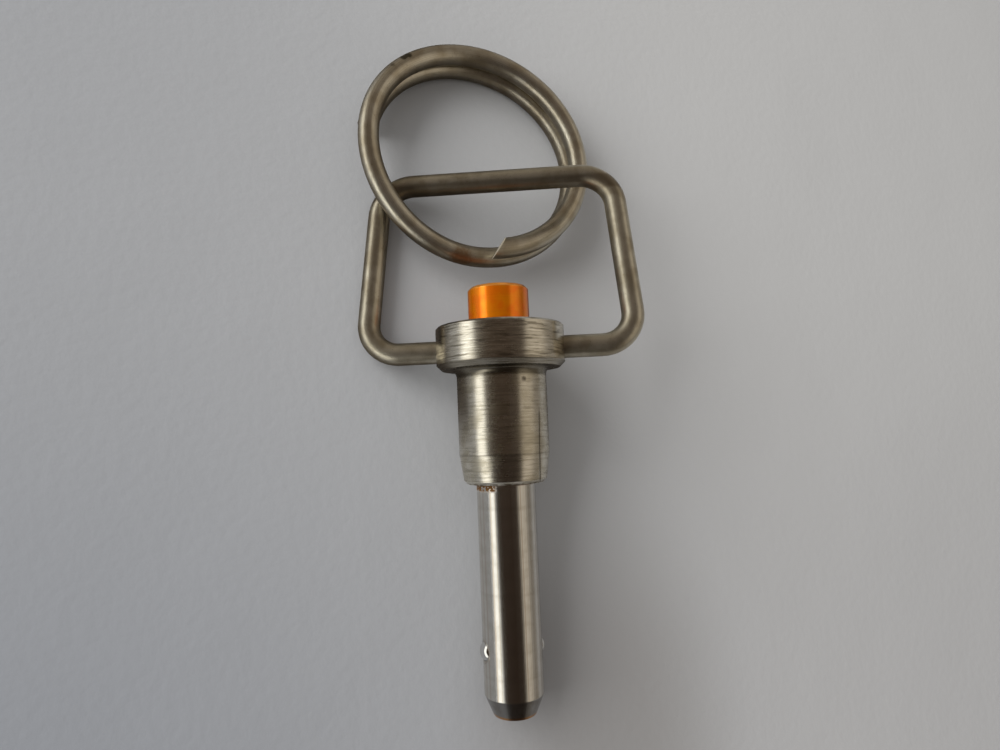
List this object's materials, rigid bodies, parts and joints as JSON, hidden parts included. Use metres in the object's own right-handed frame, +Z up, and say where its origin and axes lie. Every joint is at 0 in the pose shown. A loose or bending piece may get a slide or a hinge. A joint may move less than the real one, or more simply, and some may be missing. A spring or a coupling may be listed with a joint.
{
  "type": "ball lock pin",
  "caption": "Ball lock pin lying on its side: ground steel shank with locking balls, flanged handle, orange push button, swinging wire bail and a split ring hung on it.",
  "frame": {"origin": "on the table under the middle of the pin as it lies with its ring", "axes": "+Y from the tip towards the head and ring, +Z up from the table, +X to the right"},
  "size_m": [0.0296, 0.0784, 0.0144],
  "materials": {
    "handle_steel": "turned stainless steel",
    "shank_steel": "ground stainless steel",
    "spindle_steel": "ground stainless steel",
    "button_aluminium": "orange anodised, satin",
    "spring_steel": "drawn spring wire",
    "ball_steel": "polished hardened steel",
    "bail_wire": "drawn stainless wire, dull",
    "ring_wire": "drawn stainless wire, dull, a little stained"
  },
  "bodies": {
    "body": {"handle": "handle_steel", "shank": "shank_steel", "return_spring": "spring_steel"},
    "plunger": {"push_button": "button_aluminium", "spindle": "spindle_steel"},
    "left_ball": {"locking_ball_left": "ball_steel"},
    "right_ball": {"locking_ball_right": "ball_steel"},
    "bail": {"bail": "bail_wire"},
    "ring": {"split_ring": "ring_wire"}
  },
  "joints": [
    {"name": "button_press", "type": "slide", "parent": "body", "child": "plunger", "axis": [0, -0.9938, -0.1108], "range_m": [0, 0.002], "stiffness_N_per_m": 800, "springref_m": -0.004, "deforming": ["return_spring"]},
    {"name": "left_ball_draw", "type": "slide", "parent": "body", "child": "left_ball", "axis": [0.9997, -0.0028, 0.0253], "range_m": [0, 0.00052]},
    {"name": "right_ball_draw", "type": "slide", "parent": "body", "child": "right_ball", "axis": [-0.9997, 0.0028, -0.0253], "range_m": [0, 0.00052]},
    {"name": "bail_swing", "type": "hinge", "parent": "body", "child": "bail", "pos_m": [-0.00021, -0.00081, 0.00718], "axis": [0.9174, -0.0441, 0.3956], "range_deg": [-90, 135]},
    {"name": "ring_swing", "type": "hinge", "parent": "bail", "child": "ring", "pos_m": [0.00103, 0.01965, 0.00657], "axis": [-0.9174, 0.0441, -0.3956], "range_deg": [0, 110]}
  ],
  "couplings": [
    {"joint": "left_ball_draw", "follows": "button_press", "ratio": 0.26},
    {"joint": "right_ball_draw", "follows": "button_press", "ratio": 0.26}
  ]
}
